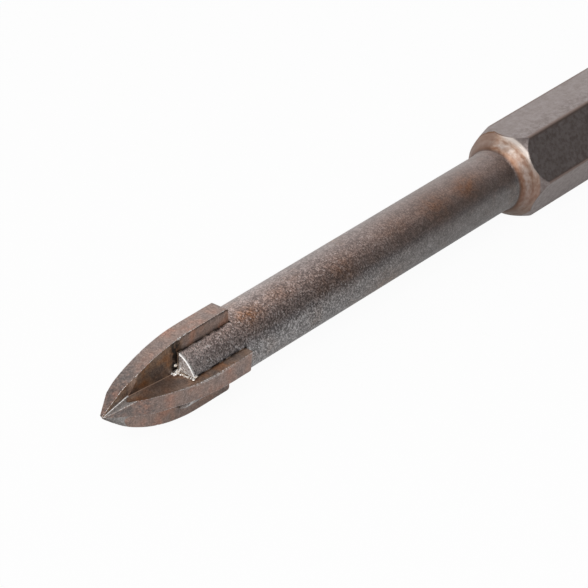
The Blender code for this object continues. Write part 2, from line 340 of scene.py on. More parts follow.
# Settings of nodes that lay one colour over another, darken one colour by another and multiply values.
PAINT = {"data_type": "RGBA"}
GLAZE = {"data_type": "RGBA", "blend_type": "MULTIPLY"}
TIMES = {"operation": "MULTIPLY"}
# Real grit leaves facets of about 0.05 mm, which would be lost in the render, so these are nearly twice as
# wide. The blasting darkens and calms down between two depths behind the point.
GRIT_FACET = 0.088 * MM
GRIT_WARP_SIZE = 0.09 * MM
BLAST_GRAIN = 0.085 * MM
TINT_SIZE = 2.6 * MM
CLOUD_SIZE = 0.6 * MM
DRAWN_MOTTLE = 0.3 * MM
LATHE_CHATTER = 0.22 * MM
DARKENING = (9 * MM, 34 * MM)
CALMING = (20 * MM, 37 * MM)


def blasted_colour(add, place, turn, shaded, grit, cloud, warmed):
    """The shaft's skin: a grey cloud with brown patches, painted light and shade round it, darkened by the
    grit's facets, and a few bright flecks that are painted glints. It is darker and calmer towards the shank,
    and calmer again on the upper side."""
    depth = add("SeparateXYZ", {0: place}).outputs["X"]
    fading, calm = (
        add("MapRange", {0: depth, "From Min": POINT_X + start, "From Max": POINT_X + end})
        for start, end in (DARKENING, CALMING)
    )
    near = add("ValToRGB", {0: cloud}, [(0.3, "#D0C4C1"), (0.7, "#F0E6E4")])
    far = add("ValToRGB", {0: cloud}, [(0.3, "#968C88"), (0.7, "#AFA5A2")])
    dull = add("Mix", {0: fading, "A": near, "B": far}, **PAINT)
    # Painted light and shade round the shaft: warmer and lighter over the top, darker in a band low on the
    # near side, bluish grey lower down.
    light_and_shade_by_side = add(
        "ValToRGB", {0: turn},
        [(0.27, "#E2E8EA"), (0.3, "#D0D2D4"), (0.33, "#F2EAE6"), (0.36, "#FFF4F0"), (0.41, "#FFEEE6"),
         (0.47, "#F2E8E4"), (0.55, "#FFFAF8"), (0.62, "#FFFAF8"), (0.72, "#E2E8EA")],
    )
    dull = add("Mix", {0: 1.0, "A": dull, "B": light_and_shade_by_side}, **GLAZE)
    tint = add("TexNoise", {"Vector": place, "Scale": 1 / TINT_SIZE, "Detail": 3.0, "Roughness": 0.55})
    brown = add("MapRange", {0: tint, "From Min": 0.52, "From Max": 0.8, "To Max": 0.5})
    brown = add("Math", {0: brown, 1: warmed}, operation="MAXIMUM")
    patchy = add("ValToRGB", {0: cloud}, [(0.36, "#A0A0A0"), (0.58, "#FFFFFF")])
    brown = add("Math", {0: brown, 1: patchy}, **TIMES)
    tinted = add("Mix", {0: brown, "A": dull, "B": "#EEC096"}, **GLAZE)
    sharp = add(
        "ValToRGB", {0: grit}, [(0.2, "#949494"), (0.42, "#B2B2B2"), (0.6, "#D8D8D8"), (0.74, "#FFFFFF")]
    )
    gentle = add(
        "ValToRGB", {0: grit}, [(0.2, "#B1B1B1"), (0.42, "#BEBEBE"), (0.6, "#D0D0D0"), (0.74, "#E6E6E6")]
    )
    facets = add("Mix", {0: shaded, "A": gentle, "B": sharp}, **PAINT)
    strength = add("MapRange", {0: calm, "To Min": 1.0, "To Max": 0.45})
    grainy = add("Mix", {0: strength, "A": tinted, "B": facets}, **GLAZE)
    # Painted glints: a few grit facets painted near white, fewer towards the shank and on the upper side.
    glint_flecks = add("ValToRGB", {0: grit}, [(0.8, "#000000"), (0.88, "#B4B4B4")])
    glint_flecks = add("MapRange", {0: fading, "To Min": glint_flecks, "To Max": 0.0})
    glint_flecks = add("Math", {0: glint_flecks, 1: shaded}, **TIMES)
    return add("Mix", {0: glint_flecks, "A": grainy, "B": "#FFFFFF"}, **PAINT)


def drawn_colour(add, place, shaded, cloud, long_edge):
    """The hexagon bar as it was drawn: a smooth grey cloud, mottled on the shaded flats, browner at its
    edges."""
    bar = add("ValToRGB", {0: cloud}, [(0.28, "#928783"), (0.72, "#A29896")])
    mottle = add("TexNoise", {"Vector": place, "Scale": 1 / DRAWN_MOTTLE, "Detail": 2.0, "Roughness": 0.6})
    mottled = add("ValToRGB", {0: mottle}, [(0.36, "#E4E0E0"), (0.6, "#FFFFFF")])
    bar = add("Mix", {0: shaded, "A": bar, "B": mottled}, **GLAZE)
    return add("Mix", {0: long_edge, "A": bar, "B": "#85746D"}, **PAINT)


def turned_colour(add, place, turn, lathe):
    """The shoulder ring: copper over the lathe's chatter, with tempering colours from the fillet out to the
    rim and painted light and shade that change round it. A painted highlight follows the crease at the rim
    where it faces the light, a painted shadow line lies along the fillet, and the lower side and the upper
    side are painted in duller, darker shade."""
    across = add("Mapping", {"Vector": place, "Scale": (0.0, 1.0, 1.0)})
    radius = add("VectorMath", {0: across}, operation="LENGTH").outputs["Value"]
    band = add("MapRange", {0: radius, "From Min": SHAFT_RADIUS, "From Max": RING_RIM})
    copper = add("ValToRGB", {0: lathe}, [(0.36, "#D8C2B4"), (0.5, "#EADCD2"), (0.62, "#FCF4EE")])
    # Painted light and shade round the ring, lighter where it faces the key light.
    round_it = add(
        "ValToRGB", {0: turn},
        [(0.1, "#9C9894"), (0.17, "#B8B0AE"), (0.21, "#BEB0AC"), (0.26, "#BEB4B0"), (0.305, "#DED4D0"),
         (0.36, "#B0A8A4"), (0.4, "#BEB8B4"), (0.43, "#ECEAE8"), (0.475, "#F4F0EE"), (0.505, "#F0EAE6"),
         (0.53, "#BCB2AC"), (0.56, "#ACA29C")],
    )
    copper = add("Mix", {0: 1.0, "A": copper, "B": round_it}, **GLAZE)
    # Tempering colours from the fillet out to the rim; the dark brown at the fillet is a painted shadow line.
    outwards = add(
        "ValToRGB", {0: band},
        [(0.0, "#5C4332"), (0.1, "#7C5A44"), (0.2, "#B8947A"), (0.3, "#CDB4A4"), (0.4, "#E4DEDC"),
         (0.54, "#EEE6E2"), (0.67, "#D0B8A8"), (0.78, "#F0E2D8"), (1.0, "#F0DCD0")],
    )
    copper = add("Mix", {0: 0.85, "A": copper, "B": outwards}, **GLAZE)
    # A painted highlight along the crease at the rim, on the part of the ring that faces the light.
    near_rim = add("ValToRGB", {0: band}, [(0.76, "#000000"), (0.88, "#FFFFFF"), (1.0, "#FFFFFF")])
    facing_the_light = add(
        "ValToRGB", {0: turn}, [(0.27, "#000000"), (0.34, "#FFFFFF"), (0.485, "#FFFFFF"), (0.51, "#000000")]
    )
    crease = add("Math", {0: near_rim, 1: facing_the_light}, **TIMES)
    crease_colour = add(
        "ValToRGB", {0: turn}, [(0.36, "#E0D4CC"), (0.395, "#C8BDB6"), (0.43, "#DCD0C8"), (0.46, "#F4E8E0")]
    )
    copper = add("Mix", {0: crease, "A": copper, "B": crease_colour}, **PAINT)
    # Painted shade on the lower and upper sides: a duller, darker copper, darkest at the fillet as a painted
    # shadow line.
    shaded_sides = add(
        "ValToRGB", {0: turn},
        [(0.1, "#909090"), (0.2, "#B0B0B0"), (0.27, "#000000"), (0.5, "#000000"), (0.55, "#D0D0D0")],
    )
    shaded_copper = add(
        "ValToRGB", {0: band}, [(0.0, "#4E3A30"), (0.14, "#806659"), (0.5, "#9C8478"), (1.0, "#8E7264")]
    )
    return add("Mix", {0: shaded_sides, "A": copper, "B": shaded_copper}, **PAINT)


def finish_blasted_steel():
    """Tool steel: the blasted skin, the drawn flats and the turned shoulder by their marks. The shoulder has
    a brown line at its upper rim, the prongs' ends are milled bright with a broken burr painted near white as
    a highlight, and the pits hold black flux."""
    material, add, shader = new_material("grit blasted tool steel, heat tinted", "#8A7F7A", 1.0, 0.45)
    names = ("turned", "bare", "burr_highlight", "drawn", "warmed", "long_edge", "pit")
    mark = {name: add("Attribute", attribute_name=name).outputs["Fac"] for name in names}
    place = add("TexCoord").outputs["Object"]
    axes = add("SeparateXYZ", {0: place})
    angle = add("Math", {0: axes.outputs["Y"], 1: axes.outputs["Z"]}, operation="ARCTAN2")
    turn = add("MapRange", {0: angle, "From Min": -math.pi, "From Max": math.pi})
    shaded = add("MapRange", {0: turn, "From Min": 0.43, "From Max": 0.5, "To Min": 1.0, "To Max": 0.25})
    warp = add("TexNoise", {"Vector": place, "Scale": 1 / GRIT_WARP_SIZE, "Detail": 1.0}).outputs["Color"]
    uneven = add("VectorMath", {0: warp, 1: (GRIT_WARP,) * 3, 2: place}, operation="MULTIPLY_ADD")
    facets = add("TexVoronoi", {"Vector": uneven, "Scale": 1 / GRIT_FACET})
    grit = facets.outputs["Color"]
    grain = add("TexNoise", {"Vector": place, "Scale": 1 / BLAST_GRAIN, "Detail": 2.0, "Roughness": 0.6})
    cloud = add("TexNoise", {"Vector": place, "Scale": 1 / CLOUD_SIZE, "Detail": 4.0, "Roughness": 0.6})
    stretched = add("Mapping", {"Vector": place, "Scale": (1.0, 0.6, 0.6)})
    lathe = add("TexNoise", {"Vector": stretched, "Scale": 1 / LATHE_CHATTER, "Detail": 3.0})
    shaft = blasted_colour(add, place, turn, shaded, grit, cloud, mark["warmed"])
    flats = drawn_colour(add, place, shaded, cloud, mark["long_edge"])
    ring = turned_colour(add, place, turn, lathe)
    bar = add("Mix", {0: mark["drawn"], "A": shaft, "B": flats}, **PAINT)
    body = add("Mix", {0: mark["turned"], "A": bar, "B": ring}, **PAINT)
    rim = add(
        "ValToRGB", {0: mark["drawn"]},
        [(0.0, "#000000"), (0.3, "#FFFFFF"), (0.85, "#FFFFFF"), (1.0, "#000000")],
    )
    above = add("ValToRGB", {0: turn}, [(0.485, "#000000"), (0.51, "#FFFFFF")])
    rim = add("Math", {0: rim, 1: above}, **TIMES)
    body = add("Mix", {0: rim, "A": body, "B": "#7A5A44"}, **PAINT)
    milled = add("ValToRGB", {0: grit}, [(0.25, "#C8C0BC"), (0.5, "#FFFFFF")])
    body = add("Mix", {0: mark["bare"], "A": body, "B": milled}, **PAINT)
    # Painted highlight: the burr on the prongs' outer edges, broken by the grain.
    broken = add("ValToRGB", {0: grain}, [(0.36, "#606060"), (0.5, "#FFFFFF")])
    burr_highlight = add("Math", {0: mark["burr_highlight"], 1: broken}, **TIMES)
    body = add("Mix", {0: burr_highlight, "A": body, "B": "#FFFDFA"}, **PAINT)
    colour = add("Mix", {0: mark["pit"], "A": body, "B": "#1E1713"}, **PAINT)
    rough = add("MapRange", {0: grain, "From Min": 0.3, "From Max": 0.7, "To Min": 0.33, "To Max": 0.5})
    rough = add("Mix", {0: mark["turned"], "A": rough, "B": 0.45})
    rough = add("Mix", {0: mark["bare"], "A": rough, "B": 0.62})
    flattened = add("MapRange", {0: mark["drawn"], "To Min": 1.0, "To Max": 0.25})
    relief = add("Math", {0: grain, 1: facets.outputs["Distance"]}, operation="ADD")
    relief = add("Math", {0: relief, 1: flattened}, **TIMES)
    relief = add("Math", {0: relief, 1: shaded}, **TIMES)
    relief = add("Mix", {0: mark["turned"], "A": relief, "B": lathe})
    bump = add("Bump", {"Height": relief, "Strength": 0.6, "Distance": 0.02 * MM})
    feed(shader, {"Base Color": colour, "Roughness": rough, "Normal": bump})
    return material


steel_body.data.materials.append(finish_blasted_steel())
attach(steel_body, "root")
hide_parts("steel_body")

# The cutting end is one piece of sintered tungsten carbide, pressed as a four-fin cross. Its outside was
# ground a little off the cross's middle, across the fins, and the gashes at the point were ground along
# it. The brazing heat has left a thin brown oxide, which is darkest in the pockets.
MAIN_RADIUS = 3.165 * MM
SIDE_RADIUS = 3.03 * MM
GROUND_HIGH = 0.035 * MM
GROUND_ASIDE = 0.15 * MM
CROSS_LENGTH = cross_high.x - POINT_X
FIN_HALF = 0.675 * MM
TAIL_ROUND = 0.5 * MM
SLIGHT_TAIL_ROUND = 0.2 * MM
MAIN_NOSE = (8.2 * MM, 8.8 * MM)
MAIN_NOSE_START = (0.5 * MM, 0.06 * MM)
SPEAR_START = 0.11 * MM
SPEAR_SLOPE = 0.85
SIDE_NOSE = {"left": 8.6 * MM, "right": 10.0 * MM}
GASH_LENGTH = 2.16 * MM
LEFT_WEB = 0.86 * MM
RIGHT_WEB = 0.36 * MM
RIGHT_WEB_AT_EDGE = 0.44 * MM
SPEAR_HALF = 0.2 * MM
SPEAR_SPREAD = 0.4
LEFT_POCKET = 0.8 * MM
NOTCH_BITE = 0.45 * MM
NOTCH_DISH = 0.2 * MM
NOTCH_REACH = 1.1 * MM
RIGHT_GASH_AT_EDGE = 2.2 * MM
FACET_AT_EDGE = 3.05 * MM
FACET_HALF = 0.56 * MM
EDGE_WEAR = 0.03 * MM
OXIDE_METALLIC = 0.6
EDGE_METALLIC = 0.3
ROOT_FILLET = 0.06 * MM
GASH_ROOT_FILLET = 0.105 * MM
# A chip has its fin, its side, its depth behind the point and its size. A worn stretch has its fin, its
# side, its middle, its half length and the extra wear. All are in millimetres.
CHIPS = [(0, "right", 2.75, 0.1), (0, "right", 4.95, 0.06), (0, "right", 6.9, 0.13), (1, "right", 4.0, 0.08),
         (1, "left", 5.1, 0.06), (2, "left", 4.6, 0.07), (0, "left", 4.4, 0.05), (3, "left", 5.2, 0.08)]
WORN_STRETCHES = [(1, "left", 7.8, 1.5, 0.06), (1, "right", 5.2, 1.0, 0.02), (0, "right", 7.5, 1.0, 0.03)]
ROUGHNESS = 0.006 * MM
FIRST_RING = 0.01 * MM
BANDED_FIN = 1
LOWER_FIN = 2
BAND_SHARE = 0.55
LESS_BRIGHT_GASH = 0.15
SHORTER_GASH = 0.45 * MM
GASH_SOFT = 0.02 * MM
FACET_SOFT = 0.04 * MM
FLUX_SHADE_START = 5.8 * MM
FLUX_SHADE_FULL = PRONG_FRONT - 0.3 * MM
FLUX_TAIL = 0.6 * MM
FLUX_LINE = (0.08 * MM, 0.07 * MM)
# Each stretch has its middle and its half length, behind the point.
WORN_BAND = (7.6 * MM, 2.2 * MM)
CRUST = (6.5 * MM, 0.5 * MM)
PALE_STRETCH = (4.7 * MM, 1.3 * MM)
DRY_STRETCH = (4.3 * MM, 1.4 * MM)


def ripple(depth, seed):
    """Uneven wear along an edge, from -1 to 1: four sines of unrelated lengths, shifted by the seed."""
    waves = [(0.31, 1.7), (0.173, 4.1), (0.72, 2.3), (1.9, 0.9)]
    sines = [np.sin(2 * np.pi * depth / (length * MM) + seed * shift) for length, shift in waves]
    return sum(sines) / len(waves)


def edge_radius(depth, fin, side):
    """A fin's edge. A main fin is a straight spear that runs into a circle's arc, and a side fin is a
    parabola. Both reach the ground circle, which lies off the middle, and end in a quarter round at the
    tail."""
    off_middle = GROUND_HIGH * math.cos(FIN_ANGLES[fin]) + GROUND_ASIDE * math.sin(FIN_ANGLES[fin])
    if fin % 2 == 0:
        drop = MAIN_RADIUS - MAIN_NOSE_START[fin // 2]
        arc_radius = (MAIN_NOSE[fin // 2] ** 2 + drop**2) / (2 * drop)
        ahead = np.maximum(0, MAIN_NOSE[fin // 2] - depth)
        arc = MAIN_RADIUS + off_middle - arc_radius + np.sqrt(arc_radius**2 - ahead**2)
        nose = soft_least(SPEAR_START + SPEAR_SLOPE * depth, arc, 0.12 * MM)
    else:
        left_of_nose = np.maximum(0, 1 - depth / SIDE_NOSE[side])
        nose = (SIDE_RADIUS + off_middle) * (1 - left_of_nose**2) + 0.03 * MM
    tail = TAIL_ROUND if (fin, side) == (1, "right") else SLIGHT_TAIL_ROUND
    into_tail = np.clip(depth - (CROSS_LENGTH - tail), 0, tail)
    return nose - (tail - np.sqrt(tail**2 - into_tail**2))


def right_gash_end(share):
    """Where a clockwise face's gash ends: a straight line from root to edge."""
    return GASH_LENGTH + (RIGHT_GASH_AT_EDGE - GASH_LENGTH) * share


def facet_end(share):
    """Where the small facet behind it ends: a straight line from the same root."""
    return GASH_LENGTH + (FACET_AT_EDGE - GASH_LENGTH) * share


def left_gash_end(share):
    """Straight across, with a round bite of the pocket's wheel nearer the fin's root."""
    return GASH_LENGTH - NOTCH_BITE * np.sin(np.pi * np.clip(share, 0, 1) ** 0.9)


def right_half(depth, share):
    """How far a fin's clockwise face lies from its middle, by depth and by the share of the way from root
    to edge: the gash rises from the point, a small facet fans out from where it ends, and the pocket runs
    up to half the fin's thickness at the prongs."""
    gash, facet = right_gash_end(share), facet_end(share)
    web = RIGHT_WEB + (RIGHT_WEB_AT_EDGE - RIGHT_WEB) * share
    facet_top = web + (FACET_HALF - web) * share
    on_gash = web * np.minimum(depth, gash) / gash
    facet_length = np.maximum(facet - gash, 0.001 * MM)
    on_facet = (facet_top - web) * np.clip((depth - gash) / facet_length, 0, 1)
    on_pocket = (FIN_HALF - facet_top) * np.clip((depth - facet) / (PRONG_FRONT - facet), 0, 1)
    return on_gash + on_facet + on_pocket


def left_half(depth, share, fin):
    """The anticlockwise face: the gash rises to its web, a small step goes down where it ends, and the
    pocket's floor runs down to half the fin's thickness at the prongs. A main fin's edge is spread out
    towards the point, so the spear ends in a short chisel, and is no thicker than the fin further back."""
    gash = left_gash_end(share)
    on_gash = LEFT_WEB * np.minimum(depth, gash) / GASH_LENGTH
    step_share = np.clip((depth - gash) / (0.07 * MM), 0, 1)
    step = (LEFT_WEB * gash / GASH_LENGTH - LEFT_POCKET) * step_share**2 * (3 - 2 * step_share)
    on_pocket = (LEFT_POCKET - FIN_HALF) * np.clip((depth - gash) / (PRONG_FRONT - gash), 0, 1)
    ground = on_gash - step - on_pocket
    if fin % 2:
        dish = np.sin(np.pi * np.clip(share, 0, 1)) * np.exp(-(((depth - GASH_LENGTH) / NOTCH_REACH) ** 2))
        return ground - NOTCH_DISH * dish * step_share
    spread = np.minimum(SPEAR_HALF + SPEAR_SPREAD * depth, FIN_HALF)
    return ground + (spread - ground) * share**2


def fin_point(angle, outward, rightward):
    """Points in a fin's own axes, as two coordinates: up and across the bit."""
    return np.stack(
        [
            outward * math.cos(angle) + rightward * math.sin(angle),
            outward * math.sin(angle) - rightward * math.cos(angle),
        ],
        axis=-1,
    )


CORNER_STEPS = np.arange(1, 7) / 7
CARBIDE_MARKS = ("outer", "edge", "root", "gash", "facet", "flux", "wheeled")


def round_corner(before, corner, after):
    """Points of the curve with one control point, which takes a corner off between two points beside it."""
    t = CORNER_STEPS[None, :, None]
    return (1 - t) ** 2 * before[:, None] + 2 * t * (1 - t) * corner[:, None] + t**2 * after[:, None]


def worn_edge(depth, fin, side):
    """An edge's distance from the axis and the width of its wear, which is even but for a slow ripple, a
    bell curve for each chip and a flatter one for each worn stretch."""
    seed = 2 * fin + (side == "right") + 1
    worn = EDGE_WEAR * (1 + 0.5 * ripple(depth, seed))
    for chip_fin, chip_side, middle, size in CHIPS:
        if (chip_fin, chip_side) == (fin, side):
            worn = worn + size * MM * np.exp(-(((depth / MM - middle) / size) ** 2))
    for worn_fin, worn_side, middle, half_length, extra in WORN_STRETCHES:
        if (worn_fin, worn_side) == (fin, side):
            uneven = 1 + 0.7 * ripple(depth, seed + 3)
            worn = worn + extra * MM * uneven * bell(depth / MM, middle, half_length)
    rough = ROUGHNESS * ripple(depth, seed + 11) * np.clip(depth / (0.6 * MM), 0, 1)
    reach = edge_radius(depth, fin, side) + rough
    return reach, np.minimum(worn, 0.28 * reach)


def clockwise_marks(depth, down, from_edge):
    """A clockwise face: a less bright gash, and flux that thickens up to the prong, where it is also the
    painted shade of the hollow before the prong, with a crust towards the edge. Beside the prong lie the
    outer oxide and a dark line of flux along the edge."""
    gash = np.clip((right_gash_end(down) - depth) / GASH_SOFT + 0.5, 0, 1)
    facet = np.clip((facet_end(down) - depth) / FACET_SOFT + 0.5, 0, 1) * (1 - gash)
    # Flux and painted shade: darker up into the hollow before the prong.
    flux = np.clip((depth - FLUX_SHADE_START) / (FLUX_SHADE_FULL - FLUX_SHADE_START), 0, 1) ** 1.5
    flux = flux * np.clip((PRONG_FRONT + FLUX_TAIL - depth) / FLUX_TAIL, 0, 1)
    crust = bell(depth, *CRUST) * np.clip((down - 0.55) / 0.2, 0, 1)
    beside_prong = np.clip((depth - PRONG_FRONT - 0.3 * MM) / (0.5 * MM), 0, 1)
    line_middle, line_width = FLUX_LINE
    line = beside_prong * np.exp(-(((from_edge - line_middle) / line_width) ** 2))
    flux = np.maximum(np.maximum(1.6 * flux * (1 - down**6), 0.85 * crust), line)
    return {"gash": LESS_BRIGHT_GASH * gash, "facet": facet, "flux": flux, "outer": 0.75 * beside_prong}


def other_marks(depth, up, fin):
    """A fin's other face: a bright gash, then a pocket with a pale and dry stretch. On the lower fin the
    gash is shorter, and the rest has the outer oxide."""
    bright_end = left_gash_end(up) - (SHORTER_GASH * up if fin == LOWER_FIN else 0)
    gash = np.clip((bright_end - depth) / GASH_SOFT + 0.5, 0, 1)
    if fin == LOWER_FIN:
        outer = 0.8 + 0.2 * np.clip((6 * MM - depth) / (3 * MM), 0, 1)
        return {"gash": gash, "outer": (1 - gash) * outer}
    outer = 0.22 + 0.28 * bell(depth, *PALE_STRETCH)
    dry = 0.35 * bell(depth, *DRY_STRETCH)
    return {"gash": gash, "outer": (1 - gash) * outer, "facet": (1 - gash) * dry}


def cross_shell():
    """The cross as rings at close depths. A ring runs fin by fin over the outer face, down the clockwise
    face to the root, and up the next fin's other face, and every corner is rounded by its wear."""
    nose = FIRST_RING + 4.4 * MM * np.linspace(0, 1, 220) ** 1.15
    straight = np.linspace(4.55 * MM, CROSS_LENGTH - TAIL_ROUND, 110)
    tail = CROSS_LENGTH - TAIL_ROUND * (1 - np.sin(np.pi / 2 * np.arange(1, 11) / 10))
    depth = np.concatenate([nose, straight, tail])
    column = depth[:, None]
    outer_steps = np.linspace(0, 1, 8)
    side_steps = (1 - np.cos(np.linspace(0, np.pi, 17))) / 2
    root_fillet = np.where(depth < GASH_LENGTH, GASH_ROOT_FILLET, ROOT_FILLET)
    reach, wear, edges, outers = {}, {}, {}, []
    for fin, angle in enumerate(FIN_ANGLES):
        for side in ("left", "right"):
            reach[fin, side], wear[fin, side] = worn_edge(depth, fin, side)
        left, right = left_half(depth, 1.0, fin), right_half(depth, 1.0)
        edges[fin, "left"] = fin_point(angle, reach[fin, "left"], -left)
        edges[fin, "right"] = fin_point(angle, reach[fin, "right"], right)
        width = np.maximum(left + right, 0.01 * MM)
        low = np.minimum(wear[fin, "left"] / width, 0.3)[:, None]
        high = 1 - np.minimum(wear[fin, "right"] / width, 0.3)[:, None]
        over = low + (high - low) * outer_steps
        way = (edges[fin, "right"] - edges[fin, "left"])[:, None]
        outers.append(edges[fin, "left"][:, None] + way * over[..., None])
    pieces = []
    marks = {name: [] for name in CARBIDE_MARKS}

    def note(count, **values):
        for name, parts in marks.items():
            parts.append(np.broadcast_to(values.get(name, 0.0), (len(depth), count)))

    corner = np.sin(np.pi * CORNER_STEPS)
    for i, angle in enumerate(FIN_ANGLES):
        j = (i + 1) % 4
        root = fin_point(angle, left_half(depth, 0.0, j), right_half(depth, 0.0))
        pieces.append(outers[i])
        band = BAND_SHARE * bell(column, *WORN_BAND) * (i == BANDED_FIN)
        note(len(outer_steps), outer=1.0, wheeled=1.0, edge=band * (outer_steps == 0))
        fillet = np.minimum(root_fillet / reach[i, "right"], 0.2)[:, None]
        down = 1 - np.minimum(wear[i, "right"] / reach[i, "right"], 0.3)[:, None]
        down = down + (fillet - down) * side_steps
        foot = left_half(depth, 0.0, j)[:, None]
        reached = foot + (reach[i, "right"][:, None] - foot) * down
        clockwise = fin_point(angle, reached, right_half(column, down))
        pieces.append(round_corner(outers[i][:, -1], edges[i, "right"], clockwise[:, 0]))
        note(6, outer=np.linspace(0.9, 0.1, 6), edge=corner)
        pieces.append(clockwise)
        note(len(side_steps), **clockwise_marks(column, down, (1 - down) * reach[i, "right"][:, None]))
        up = 1 - np.minimum(wear[j, "left"] / reach[j, "left"], 0.3)[:, None]
        fillet = np.minimum(root_fillet / reach[j, "left"], 0.2)[:, None]
        up = fillet + (up - fillet) * side_steps
        foot = right_half(depth, 0.0)[:, None]
        reached = foot + (reach[j, "left"][:, None] - foot) * up
        other = fin_point(FIN_ANGLES[j], reached, -left_half(column, up, j))
        pieces.append(round_corner(clockwise[:, -1], root, other[:, 0]))
        note(6, root=corner, gash=(column < GASH_LENGTH) * 1.0)
        pieces.append(other)
        note(len(side_steps), **other_marks(column, up, j))
        pieces.append(round_corner(other[:, -1], edges[j, "left"], outers[j][:, 0]))
        note(6, outer=np.linspace(0.1, 0.9, 6), edge=corner)
    flat = np.concatenate(pieces, axis=1)
    along = np.broadcast_to((POINT_X + column)[..., None], flat.shape[:2] + (1,))
    rings = np.concatenate([along, flat[..., ::-1]], axis=2)
    last = rings[-1:].copy()
    last[..., 1:] *= 0.96
    values = {name: np.concatenate(parts, axis=1) for name, parts in marks.items()}
    values = {name: np.concatenate([array, array[-1:]]) for name, array in values.items()}
    return {"rings": np.concatenate([rings, last]), "marks": values}


carbide_cross = skin("carbide_cross_skin", [cross_shell()])


# Real grinding lines and sintered grains are finer than these, and would be lost in the render.
GRINDING_LINE = 0.06 * MM
CARBIDE_GRAIN = 0.1 * MM
SPECK_SIZE = 0.08 * MM
OXIDE_PATCH = 1.3 * MM
OXIDE_CLOUD = 0.35 * MM
COOL_FRONT = (4.6 * MM, 2.8 * MM)


def outer_oxide(add, place, patch, cloud, lines, wheeled):
    """The outer faces: pinkish grey with lines across them, and bluer near the point where they were
    wheeled."""
    oxide = add("ValToRGB", {0: patch}, [(0.34, "#AE9C95"), (0.5, "#BCA398"), (0.66, "#CAA191")])
    ground = add("ValToRGB", {0: lines}, [(0.35, "#A8A8A8"), (0.62, "#FFFFFF")])
    oxide = add("Mix", {0: 0.3, "A": oxide, "B": ground}, **GLAZE)
    depth = add("SeparateXYZ", {0: place}).outputs["X"]
    start, end = COOL_FRONT
    cool = add("MapRange", {"Value": depth, "From Min": POINT_X + start, "From Max": POINT_X + end})
    cool = add("Math", {0: cool, 1: 0.12}, operation="MAXIMUM")
    cool = add("Math", {0: cool, 1: wheeled}, **TIMES)
    blue = add("ValToRGB", {0: cloud}, [(0.36, "#202020"), (0.6, "#D8D8D8")])
    blue = add("Math", {0: cool, 1: blue}, **TIMES)
    return add("Mix", {0: blue, "A": oxide, "B": "#807D7C"}, **PAINT)


def finish_ground_carbide():
    """Ground sintered carbide under a thin brown oxide: brown pockets with rust-coloured patches, grey
    gashes, black flux that is also painted shade before the prongs, worn edges painted near white as
    highlights, and a painted highlight along the gashes' roots."""
    material, add, shader = new_material("ground tungsten carbide, brown oxide", "#8A7068", 1.0, 0.42)
    mark = {name: add("Attribute", attribute_name=name).outputs["Fac"] for name in CARBIDE_MARKS}
    place = add("TexCoord").outputs["Object"]
    patch = add("TexNoise", {"Vector": place, "Scale": 1 / OXIDE_PATCH, "Detail": 3.0})
    cloud = add("TexNoise", {"Vector": place, "Scale": 1 / OXIDE_CLOUD, "Detail": 3.0, "Roughness": 0.65})
    speck = add("TexNoise", {"Vector": place, "Scale": 1 / SPECK_SIZE, "Detail": 2.0})
    crystal = add("TexVoronoi", {"Vector": place, "Scale": 1 / CARBIDE_GRAIN})
    across = add("Mapping", {"Vector": place, "Scale": (1.0, 0.08, 0.08)})
    lines = add("TexNoise", {"Vector": across, "Scale": 1 / GRINDING_LINE, "Detail": 2.0})
    pocket = add("ValToRGB", {0: patch}, [(0.38, "#8C7C72"), (0.5, "#A08672"), (0.64, "#B2825A")])
    rust = add("ValToRGB", {0: cloud}, [(0.3, "#B4ACA6"), (0.5, "#DCD6D0"), (0.66, "#FFFFFF")])
    pocket = add("Mix", {0: 0.8, "A": pocket, "B": rust}, **GLAZE)
    outer = outer_oxide(add, place, patch, cloud, lines, mark["wheeled"])
    body = add("Mix", {0: mark["outer"], "A": pocket, "B": outer}, **PAINT)
    inside = add("Math", {0: 1.0, 1: mark["outer"]}, operation="SUBTRACT")
    gash = add("Math", {0: mark["gash"], 1: inside}, **TIMES)
    body = add("Mix", {0: gash, "A": body, "B": "#B4AEAB"}, **PAINT)
    body = add("Mix", {0: mark["facet"], "A": body, "B": "#B89C8A"}, **PAINT)
    # Black flux, and before the prongs the painted shade of the hollow.
    crust = add("ValToRGB", {0: cloud}, [(0.45, "#FFFFFF"), (0.65, "#A8A8A8")])
    crust = add("Math", {0: mark["flux"], 1: crust}, use_clamp=True, **TIMES)
    body = add("Mix", {0: crust, "A": body, "B": "#21180F"}, **PAINT)
    sparkle = crystal.outputs["Color"]
    sparkle = add("ValToRGB", {0: sparkle}, [(0.2, "#A0A0A0"), (0.5, "#D0D0D0"), (0.8, "#FFFFFF")])
    strength = add("MapRange", {0: mark["outer"], "To Min": 0.6, "To Max": 0.55})
    body = add("Mix", {0: strength, "A": body, "B": sparkle}, **GLAZE)
    # Worn edges, painted near white and less metallic as a highlight, broken by the specks.
    worn = add("ValToRGB", {0: speck}, [(0.44, "#000000"), (0.6, "#FFFFFF")])
    edge = add("Math", {0: mark["edge"], 1: worn}, **TIMES)
    body = add("Mix", {0: edge, "A": body, "B": "#F6F4F2"}, **PAINT)
    # A painted highlight along the roots: white in the gashes, light tan in the pockets.
    root_highlight = add("Math", {0: mark["root"], 1: mark["gash"]}, **TIMES)
    root = add("Mix", {0: root_highlight, "A": "#C2A38F", "B": "#FFFFFF"}, **PAINT)
    colour = add("Mix", {0: mark["root"], "A": body, "B": root}, **PAINT)
    metal = add("MapRange", {0: mark["outer"], "To Min": OXIDE_METALLIC, "To Max": 1.0})
    metal = add("MapRange", {0: edge, "To Min": metal, "To Max": EDGE_METALLIC})
    relief = add("Mix", {0: mark["outer"], "A": speck, "B": lines})
    relief = add("Math", {0: relief, 1: crystal.outputs["Distance"]}, operation="ADD")
    bump = add("Bump", {"Height": relief, "Strength": 0.5, "Distance": 0.01 * MM})
    feed(shader, {"Base Color": colour, "Metallic": metal, "Normal": bump})
    return material


